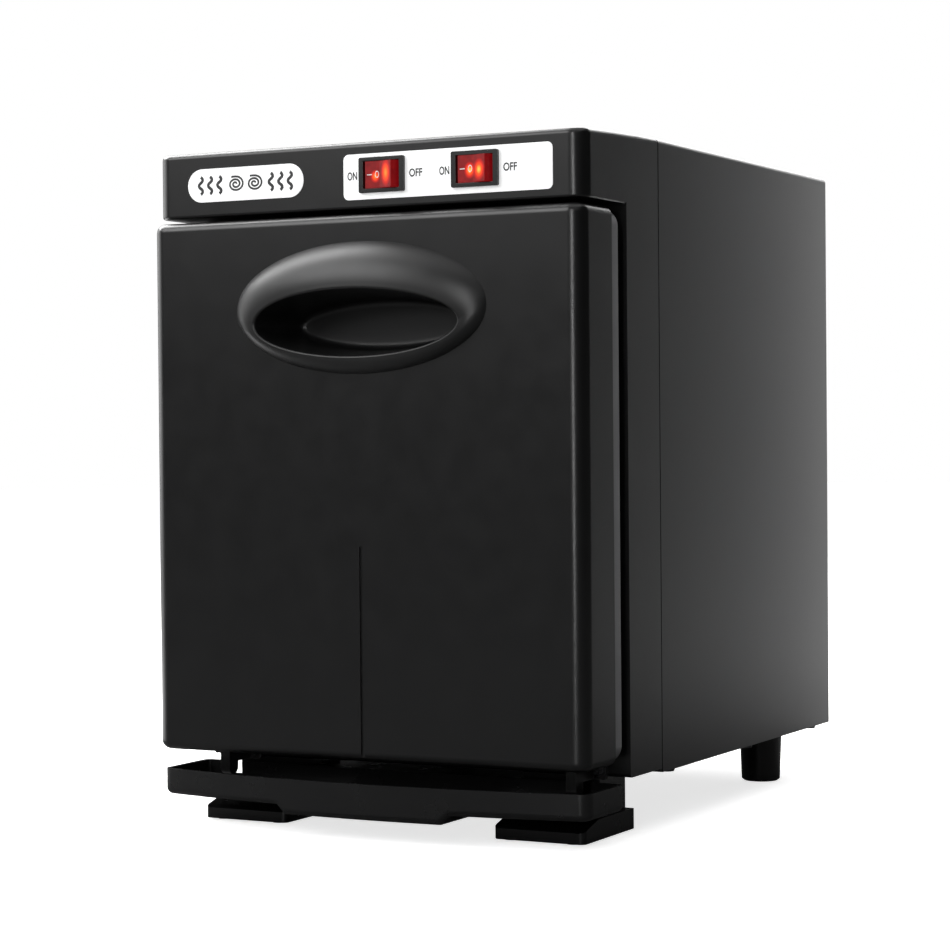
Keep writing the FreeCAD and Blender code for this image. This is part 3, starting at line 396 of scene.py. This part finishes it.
black = (0.0045, 0.0045, 0.0047)
finishes = {
    "frame_moulding": moulded("frame_moulding", black, 0.30),
    "shell_paint": powder_coat("shell_paint", (0.007, 0.007, 0.0073), 0.30),
    "rear_paint": powder_coat("rear_paint", (0.012, 0.012, 0.0125), 0.46),
    "base_zinc": galvanised("base_zinc", (0.42, 0.43, 0.44), 0.42),
    "liner_aluminium": rolled_sheet("liner_aluminium", (0.80, 0.81, 0.82), 0.30, "y"),
    "heater_foil": rolled_sheet("heater_foil", (0.82, 0.82, 0.80), 0.35, "x"),
    "glass_wool": fibre_mat("glass_wool", (0.72, 0.62, 0.30)),
    "shelf_zinc": galvanised("shelf_zinc", (0.52, 0.53, 0.55), 0.40),
    "thermostat_case": plated("thermostat_case", (0.60, 0.58, 0.55), 0.35),
    "fuse_case": plated("fuse_case", (0.70, 0.70, 0.71), 0.28),
    "lamp_glass": frosted_glass("lamp_glass"),
    "lamp_cap_metal": plated("lamp_cap_metal", (0.72, 0.72, 0.73), 0.30),
    "holder_plastic": moulded("holder_plastic", (0.78, 0.78, 0.75), 0.45),
    "guard_steel": rolled_sheet("guard_steel", (0.68, 0.69, 0.70), 0.28, "x"),
    "ballast_steel": powder_coat("ballast_steel", (0.62, 0.63, 0.62), 0.45),
    "starter_plastic": moulded("starter_plastic", (0.80, 0.80, 0.78), 0.30),
    "rack_chrome": plated("rack_chrome", (0.80, 0.81, 0.83), 0.12),
    "rail_aluminium": rolled_sheet("rail_aluminium", (0.76, 0.77, 0.78), 0.32, "y"),
    "terminal_plastic": moulded("terminal_plastic", (0.78, 0.74, 0.62), 0.5),
    "wire_sleeve": rubbery("wire_sleeve", (0.05, 0.05, 0.05), 0.45),
    "gland_plastic": moulded("gland_plastic", (0.014, 0.014, 0.014), 0.42),
    "plate_white": printed_film("plate_white", (0.86, 0.87, 0.87), 0.42),
    "label_white": printed_film("label_white", (0.84, 0.85, 0.85), 0.42),
    "switch_black": moulded("switch_black", (0.008, 0.008, 0.008), 0.26, height=0.002),
    "bracket_black": powder_coat("bracket_black", (0.010, 0.010, 0.010), 0.35),
    "bush_nylon": moulded("bush_nylon", (0.72, 0.70, 0.64), 0.5),
    "pin_steel": plated("pin_steel", (0.62, 0.62, 0.63), 0.2),
    "screw_black": blackened("screw_black", (0.05, 0.05, 0.052), 0.38),
    "magnet_case": moulded("magnet_case", (0.02, 0.02, 0.02), 0.45),
    "strike_steel": plated("strike_steel", (0.65, 0.65, 0.66), 0.25),
    "door_moulding": moulded("door_moulding", black, 0.30),
    "handle_moulding": moulded("handle_moulding", black, 0.40, height=0.002),
    "inner_panel_moulding": moulded("inner_panel_moulding", (0.22, 0.22, 0.225), 0.5),
    "door_foam": open_foam("door_foam", (0.82, 0.81, 0.76)),
    "gasket_rubber": rubbery("gasket_rubber", (0.012, 0.012, 0.012), 0.6),
    "screw_steel": plated("screw_steel", (0.58, 0.58, 0.60), 0.3),
    "tray_moulding": moulded("tray_moulding", black, 0.26),
    "foot_moulding": moulded("foot_moulding", black, 0.26),
    "rear_foot_plastic": moulded("rear_foot_plastic", (0.008, 0.008, 0.008), 0.18, height=0.002),
    "sole_rubber": rubbery("sole_rubber", (0.03, 0.03, 0.03), 0.7),
}
finishes["rocker_red"] = lit_lens(
    "rocker_red", SWITCHES["heater"], ((3.8, 0.6, 3.6, 7.5), (-3.2, -1.0, 3.0, 3.6)), (1.0, 0.32, 0.03))
lamp_lens = lit_lens(
    "rocker_red_bright", SWITCHES["lamp"], ((3.6, -0.8, 4.2, 6.0), (-2.4, -0.8, 3.4, 4.6)), (1.0, 0.74, 0.10))
black_ink = ink("black_ink", (0.03, 0.03, 0.032))
white_ink = ink("white_ink", (0.85, 0.80, 0.80))

for part in frame["record"]["subparts"]:
    skin = nodes[part["node"]].data.materials
    skin.clear()
    skin.append(finishes[part["material_slot"]])
nodes["lamp_rocker"].data.materials[0] = lamp_lens


# ---------------------------------------------------------------- housing

def recast_all():
    """The visible mouldings and sheets, with their edges broken and their curves smooth."""
    work = (                      # CAD node, finished piece, body, radius on its edges
        ("front_frame", "hood_and_frame", "cabinet", 0.5),
        ("outer_shell", "side_and_top_sheet", "cabinet", 0.25),
        ("rear_panel", "rear_sheet", "cabinet", 0.25),
        ("door_shell", "door_moulding", "door", 0.4),
        ("door_panel", "door_inner_panel", "door", 0.5),
        ("door_gasket", "door_seal", "door", 1.2),
        ("drip_tray", "tray", "tray", 0.7),
        ("front_foot_right", "foot_front_right", "cabinet", 0.6),
        ("front_foot_left", "foot_front_left", "cabinet", 0.6),
        ("rear_foot_right", "foot_rear_right", "cabinet", 0.3),
        ("rear_foot_left", "foot_rear_left", "cabinet", 0.3),
        ("hinge_bracket_right", "hinge_arm_right", "cabinet", 0.5),
        ("hinge_bracket_left", "hinge_arm_left", "cabinet", 0.5),
        ("switch_plate", "control_plate", "cabinet", 0.15),
        ("name_label", "pill_label", "cabinet", 0.15),
        ("heater_switch", "switch_body_heater", "cabinet", 0.35),
        ("lamp_switch", "switch_body_lamp", "cabinet", 0.35),
    )
    slots = {part["node"]: part["material_slot"] for part in frame["record"]["subparts"]}
    for node, name, body, radius in work:
        piece = recast(node, name)
        ease(piece, radius)
        smooth(piece)
        fit(piece, finishes[slots[node]], body, slots[node], node)


recast_all()


# ---------------------------------------------------------------- door handle

GRIP_X = 0.7
RIM = (250.0, 76.0, 35.0)         # height, half width and half height of the surround's edge
LIP = (242.0, 62.0, 18.0)         # the same for the finger opening
FLOOR = (242.0, 54.0, 14.0)       # and for the pocket's rear wall
BACK = (242.0, 30.0, 8.0)         # and for the last ring behind that wall
FLOOR_Y = -68.0
BACK_Y = FLOOR_Y + 2.0
SEAT_Y = DOOR_FACE + 4.0          # where the surround's underside lies in the door
FLOOR_R = 4.5                     # the pocket's floor turns up into its wall
LIP_R = 1.4                       # the lip's round
RIM_LIFT = 0.15                   # the rim starts this far inside the door's face
RIM_TURN = 36.0                   # degrees of the surround's quarter ellipse left off at its rim
CREST_LOW = 4.6                   # how far the lip stands forward below the fingers
CREST_ENDS = 0.9                  # what its two ends add
CREST_TOP = 9.2                   # what its top adds


def crest(around):
    """How far the surround stands forward at its opening: most above the fingers."""
    lift = max(0.0, math.sin(around)) ** 1.5
    return CREST_LOW + CREST_ENDS * abs(math.cos(around)) + CREST_TOP * lift


def on_oval(oval, around, grow=0.0):
    height, wide, high = oval
    return Vector((GRIP_X + (wide + grow) * math.cos(around), 0.0, height + (high + grow) * math.sin(around)))


def at_depth(spot, y):
    return spot + Vector((0, y, 0))


def handle_rings():
    """Sections from the pocket's floor, over the lip and the surround, round to the back of the pocket.

    Each is a function of the angle round the grip."""
    rings = []
    centre = Vector((GRIP_X, 0.0, FLOOR[0]))
    for share in (0.35, 0.7, 0.95):
        rings.append(lambda a, s=share: at_depth(
            on_oval(FLOOR, a, -FLOOR_R).lerp(centre, 1 - s), FLOOR_Y))
    for step in range(1, 9):      # the floor's round
        turn = math.radians(9 * step)
        rings.append(lambda a, t=turn: at_depth(
            on_oval(FLOOR, a, -FLOOR_R * (1 - math.sin(t))),
            FLOOR_Y - FLOOR_R * (1 - math.cos(t))))
    for step in range(1, 7):      # the wall, up to just under the lip
        rings.append(lambda a, s=step / 7: at_depth(
            on_oval(FLOOR, a).lerp(on_oval(LIP, a, -0.8), s),
            (FLOOR_Y - FLOOR_R) * (1 - s) + (DOOR_FACE - crest(a) + 1.6) * s))
    for step in range(0, 6):      # the lip's round
        turn = math.radians(10 + 20 * step)
        rings.append(lambda a, t=turn: at_depth(
            on_oval(LIP, a, 0.6 - LIP_R * math.cos(t)),
            DOOR_FACE - crest(a) + LIP_R - 1.5 * math.sin(t)))
    last = math.radians(RIM_TURN)
    for step in range(1, 19):     # the surround, out and back to its rim
        turn = math.radians(90 - (90 - RIM_TURN) * step / 18)
        out = math.cos(turn) / math.cos(last)
        up = (math.sin(turn) - math.sin(last)) / (1 - math.sin(last))
        rings.append(lambda a, o=out, u=up: at_depth(
            on_oval(RIM, a).lerp(on_oval(LIP, a, 1.0), 1 - o),
            DOOR_FACE + RIM_LIFT - (crest(a) + RIM_LIFT) * u))
    rings.append(lambda a: at_depth(on_oval(RIM, a, -3.2), DOOR_FACE + 0.6))
    rings.append(lambda a: at_depth(on_oval(RIM, a, -3.4), DOOR_FACE + 2.8))
    rings.append(lambda a: at_depth(on_oval(LIP, a, 3.0), SEAT_Y))
    for share in (0.33, 0.66, 1.0):     # the pocket's outside
        rings.append(lambda a, s=share: at_depth(
            on_oval(LIP, a, 3.0).lerp(on_oval(FLOOR, a, 2.5), s),
            SEAT_Y * (1 - s) + BACK_Y * s))
    rings.append(lambda a: at_depth(on_oval(BACK, a), BACK_Y))
    return rings


def make_handle():
    """A ball with one ring for each section, its corners moved on to the sections."""
    rings = handle_rings()
    count = len(rings) + 1
    clear()
    bpy.ops.mesh.primitive_uv_sphere_add(segments=144, ring_count=count, radius=1.0)
    handle = named("door_grip")
    for corner in handle.data.vertices:
        level = round(math.acos(max(-1.0, min(1.0, corner.co.z))) / math.pi * count)
        around = math.atan2(corner.co.y, corner.co.x)
        if level == 0:
            spot = Vector((GRIP_X, FLOOR_Y, FLOOR[0]))
        elif level == count:
            spot = Vector((GRIP_X, BACK_Y, BACK[0]))
        else:
            spot = rings[level - 1](around)
        corner.co = place(*spot)
    face_out(handle)
    smooth(handle, 50)
    fit(handle, finishes["handle_moulding"], "door", "handle_moulding", "door_handle")


make_handle()


# ---------------------------------------------------------------- printed marks

INK_THICK = 0.06
RING_THICK = 0.1
STROKE_EXTRUDE = 0.02             # of the letters as they are typed, before they are scaled
STROKE_SWELL = 0.022


def extent(piece):
    """The lowest and the highest corner of the piece's own box."""
    corners = [corner.co for corner in piece.data.vertices]
    low = Vector([min(c[i] for c in corners) for i in range(3)])
    high = Vector([max(c[i] for c in corners) for i in range(3)])
    return low, high


def press_print(piece, x, y, z, wide, high, thick=INK_THICK):
    """Scales flat work to its printed size and stands it on a face at y."""
    settle(piece)
    low, top = extent(piece)
    middle = (low + top) / 2
    span = top - low
    for corner in piece.data.vertices:
        flat = corner.co - middle
        deep = (flat.z / span.z - 0.5) * thick
        corner.co = place(x + flat.x / span.x * wide, y + deep, z + flat.y / span.y * high)
    face_out(piece)


def word(name, letters, x, z, wide, high):
    """Letters on the control plate, scaled to their width and height."""
    clear()
    bpy.ops.object.text_add()
    text = bpy.context.active_object
    text.data.body = letters
    text.data.extrude = STROKE_EXTRUDE
    text.data.offset = STROKE_SWELL
    bpy.ops.object.convert(target="MESH")
    piece = named(name)
    press_print(piece, x, PLATE_FACE, z, wide, high)
    fit(piece, black_ink, "cabinet", "plate_white")


for key, middle in SWITCHES.items():
    word(f"on_mark_{key}", "ON", middle - 18.4, SWITCH_Z, 5.9, 4.4)
    word(f"off_mark_{key}", "OFF", middle + 19.9, SWITCH_Z, 7.8, 4.3)


def ribbon(name, points, width):
    """A printed line through the points, in millimetres on the label."""
    clear()
    line = bpy.data.curves.new(name, "CURVE")
    line.dimensions = "3D"
    spline = line.splines.new("NURBS")
    spline.points.add(len(points) - 1)
    for spot, (x, z) in zip(spline.points, points):
        spot.co = (x, z, 0.0, 1.0)
    spline.order_u = 3
    spline.use_endpoint_u = True
    line.bevel_depth = width / 2
    line.bevel_resolution = 2
    line.use_fill_caps = True
    piece = bpy.data.objects.new(name, line)
    bpy.context.scene.collection.objects.link(piece)
    hold(piece)
    bpy.ops.object.convert(target="MESH")
    return bpy.context.active_object


STEAM_X = (-28.5, -22.5, -16.5, 16.5, 22.5, 28.5)
STEAM = (2.4, 4.7, 3.1)           # a plume's sway, its half height and where it bends
STEAM_LINE = 1.7
ROLL_X = (-6.0, 6.0)
ROLL_STEPS = 21
ROLL_EYE = 0.5                    # the spiral's first radius
ROLL_GROWTH = 4.0                 # and what it grows by
ROLL_SQUASH = 1.25                # wider than high
ROLL_LINE = 1.1


def label_picture():
    """Two rolled towels between plumes of rising steam."""
    strokes = []
    for x in STEAM_X:
        sway, top, bend = STEAM
        wave = [(x, -top), (x + sway, -bend), (x - sway, 0.0), (x + sway, bend), (x, top)]
        strokes.append(ribbon("stroke", wave, STEAM_LINE))
    for x in ROLL_X:
        roll = []
        for step in range(ROLL_STEPS + 1):
            turn = math.radians(40 * step)
            reach = ROLL_EYE + ROLL_GROWTH * step / ROLL_STEPS
            roll.append((x + ROLL_SQUASH * reach * math.cos(turn), reach * math.sin(turn)))
        strokes.append(ribbon("stroke", roll, ROLL_LINE))
    piece = join("label_picture", strokes)
    low, top_corner = extent(piece)
    span = top_corner - low
    press_print(piece, LABEL_MIDDLE[0], PLATE_FACE, LABEL_MIDDLE[1], span.x, span.y)
    fit(piece, black_ink, "cabinet", "label_white")


label_picture()


MARK_FACE = -96.25                # y of the rockers' marks


def key_marks(key, middle):
    """The bar and the ring on a rocker, both on the half towards ON."""
    low = (middle - 8.2, MARK_FACE - 0.05, SWITCH_Z - 0.28)
    high = (middle - 5.3, MARK_FACE + 0.1, SWITCH_Z + 0.28)
    bar = block(f"bar_mark_{key}", low, high)
    ease(bar, 0.03, 2)
    smooth(bar)
    fit(bar, white_ink, f"{key}_key", "rocker_red")
    clear()
    bpy.ops.mesh.primitive_torus_add(
        major_radius=1.0, minor_radius=0.16, major_segments=40, minor_segments=8)
    ring = named(f"ring_mark_{key}")
    press_print(ring, middle - 2.2, MARK_FACE + 0.03, SWITCH_Z, 2.5, 3.7, RING_THICK)
    smooth(ring, 60)
    fit(ring, white_ink, f"{key}_key", "rocker_red")


for key, middle in SWITCHES.items():
    key_marks(key, middle)


# ---------------------------------------------------------------- studio

PAPER_RADIUS = 9.0                # metres, as all of the studio
PAPER_GAP = 0.0004                # the paper lies just below the soles
PAPER_GLOW = 0.74
PAPER_DULL = 0.12                 # its grey in reflections
ROOM_LIGHT = 0.04                 # the walls' light on the cabinet
SKY_POWER = 1.0
SKY_SPREAD = 70.0                 # degrees


def make_floor():
    """White paper, lit through for the camera and dull in the cabinet's reflections."""
    clear()
    bpy.ops.mesh.primitive_circle_add(
        vertices=96, radius=PAPER_RADIUS, fill_type="NGON", location=(0, 0, -PAPER_GAP))
    floor = named("studio_floor")
    finish = Finish("studio_floor", 0.7, Specular_IOR_Level=0.1,
                    Emission_Color=(1, 1, 1, 1), Emission_Strength=PAPER_GLOW)
    finish.colour(finish.noise(900, 2.0), (0.3, (0.80, 0.80, 0.80)), (0.7, (0.83, 0.83, 0.83)))
    dull = finish.tree.nodes.new("ShaderNodeBsdfDiffuse")
    dull.inputs["Color"].default_value = (PAPER_DULL, PAPER_DULL, PAPER_DULL, 1)
    path = finish.tree.nodes.new("ShaderNodeLightPath")
    choose = finish.tree.nodes.new("ShaderNodeMixShader")
    finish.link(path.outputs["Is Camera Ray"], choose.inputs["Fac"])
    finish.link(dull.outputs["BSDF"], choose.inputs[1])
    finish.link(finish.shader.outputs["BSDF"], choose.inputs[2])
    finish.link(choose.outputs["Shader"], finish.tree.nodes["Material Output"].inputs["Surface"])
    floor.data.materials.append(finish.material)


def softbox(name, at, aim, wide, high, power, turn=0):
    """A lit panel that the camera doesn't see: metres, watts, and degrees about the upright."""
    light = bpy.data.lights.new(name, "AREA")
    light.shape = "RECTANGLE"
    light.size = wide
    light.size_y = high
    light.energy = power
    lamp = bpy.data.objects.new(name, light)
    bpy.context.scene.collection.objects.link(lamp)
    lamp.location = at
    facing = (Vector(aim) - Vector(at)).to_track_quat("-Z", "Y").to_matrix()
    lamp.rotation_euler = (Matrix.Rotation(math.radians(turn), 3, "Z") @ facing).to_euler()
    lamp.visible_camera = False


def studio_light():
    """White walls for the camera, and panels placed for the reflections in the black faces."""
    world = bpy.data.worlds.new("studio")
    bpy.context.scene.world = world
    world.use_nodes = True
    tree = world.node_tree
    room = tree.nodes["Background"]
    room.inputs["Color"].default_value = (1, 1, 1, 1)
    room.inputs["Strength"].default_value = ROOM_LIGHT
    seen = tree.nodes.new("ShaderNodeBackground")
    seen.inputs["Color"].default_value = (1, 1, 1, 1)
    seen.inputs["Strength"].default_value = 1.0
    path = tree.nodes.new("ShaderNodeLightPath")
    choose = tree.nodes.new("ShaderNodeMixShader")
    tree.links.new(path.outputs["Is Camera Ray"], choose.inputs["Fac"])
    tree.links.new(room.outputs["Background"], choose.inputs[1])
    tree.links.new(seen.outputs["Background"], choose.inputs[2])
    tree.links.new(choose.outputs["Shader"], tree.nodes["World Output"].inputs["Surface"])
    softbox("overhead", (-1.15, 0.15, 1.45), (0, -0.1, 0.3), 1.2, 1.2, 50)
    softbox("key", (-1.45, -2.0, 1.9), (0, -0.1, 0.25), 1.5, 1.4, 33)
    softbox("front_right", (1.9, -1.9, 2.0), (0, -0.1, 0.2), 1.6, 1.6, 4)
    softbox("door_card", (-0.98, -1.95, 1.0), (0, -0.15, 0.25), 1.2, 0.8, 5.6)
    softbox("left_wall", (-2.3, -0.1, 0.8), (0, -0.1, 0.25), 2.0, 1.6, 24)
    softbox("left_floor_card", (-0.75, 0.1, 0.01), (-0.75, 0.1, 1.0), 0.7, 0.9, 6)
    softbox("front_strip", (0.45, -1.75, 0.4), (0.13, -0.15, 0.2), 0.16, 1.5, 11)
    softbox("rear_card", (0.20, 0.7, 0.5), (0.20, -0.3, 0.5), 0.12, 1.0, 1.5)
    softbox("rear_floor_card", (0.18, 0.5, 0.01), (0.18, 0.5, 1.0), 0.12, 0.4, 0.13, turn=-15)
    softbox("rear_fill", (-0.6, 2.4, 1.6), (0, 0.1, 0.2), 1.4, 1.2, 26)
    sky = bpy.data.lights.new("sky", "SUN")
    sky.energy = SKY_POWER
    sky.angle = math.radians(SKY_SPREAD)
    ceiling = bpy.data.objects.new("sky", sky)
    bpy.context.scene.collection.objects.link(ceiling)


CAMERA_AT = (0.68154, -1.34218, 0.21443)        # metres
CAMERA_AIM = (27.75, -0.96, -0.5)               # degrees of turn to the left, tilt up and roll
CAMERA_LENS = 96.92
CAMERA_FILM = 36.0


def make_camera():
    """Stands in front and to the right, a little above the middle, almost level."""
    camera = bpy.data.cameras.new("camera")
    camera.lens = CAMERA_LENS
    camera.sensor_width = CAMERA_FILM
    stand = bpy.data.objects.new("camera", camera)
    bpy.context.scene.collection.objects.link(stand)
    turn, pitch, roll = (math.radians(angle) for angle in CAMERA_AIM)
    level = Vector((-math.sin(turn), math.cos(turn), 0.0))
    ahead = math.cos(pitch) * level + Vector((0.0, 0.0, math.sin(pitch)))
    across = Vector((math.cos(turn), math.sin(turn), 0.0))
    above = across.cross(ahead)
    right = math.cos(roll) * across + math.sin(roll) * above
    top = -math.sin(roll) * across + math.cos(roll) * above
    stand.matrix_world = Matrix((right, top, -ahead)).transposed().to_4x4()
    stand.location = CAMERA_AT
    bpy.context.scene.camera = stand


make_floor()
studio_light()
make_camera()
bpy.context.scene.view_settings.view_transform = "Standard"
